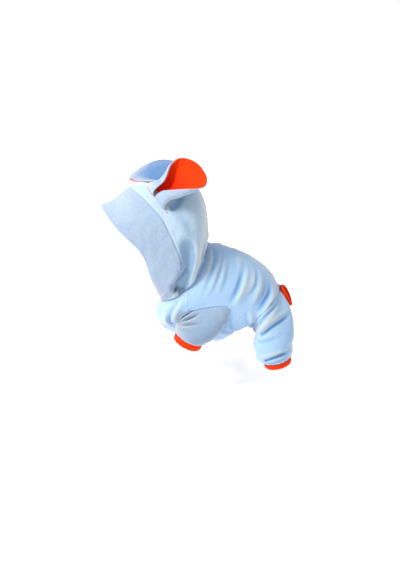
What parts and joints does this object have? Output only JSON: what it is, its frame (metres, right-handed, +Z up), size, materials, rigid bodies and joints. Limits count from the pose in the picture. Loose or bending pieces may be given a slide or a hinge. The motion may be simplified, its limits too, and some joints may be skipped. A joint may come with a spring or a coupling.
{
  "type": "hooded dog jumpsuit",
  "caption": "Hooded four-legged fleece jumpsuit for a small dog, filled out as worn, with lined ears and ribbed cuffs.",
  "frame": {"origin": "inside of the back panel at the withers, where the dog's shoulders hold the garment up", "axes": "+X towards the tail, -X towards the muzzle, -Y towards the dog's left, +Z up from the ground under the dog"},
  "size_m": [0.3267, 0.198, 0.3636],
  "materials": {
    "blue_fleece": "soft brushed fleece with a short pile",
    "orange_rib": "matt knitted rib",
    "orange_lining": "matt brushed fleece"
  },
  "bodies": {
    "root": {"back_panel": "blue_fleece", "chest_panel": "blue_fleece", "sleeve_left": "blue_fleece", "sleeve_right": "blue_fleece", "cuff_front_left": "orange_rib", "cuff_front_right": "orange_rib", "trouser_left": "blue_fleece", "trouser_right": "blue_fleece", "cuff_hind_left": "orange_rib", "cuff_hind_right": "orange_rib", "tail_collar": "orange_rib", "hood_band": "blue_fleece", "hood_crown_left": "blue_fleece", "hood_crown_right": "blue_fleece", "ear_left_outer": "blue_fleece", "ear_left_lining": "orange_lining", "ear_right_outer": "blue_fleece", "ear_right_lining": "orange_lining"}
  },
  "joints": []
}
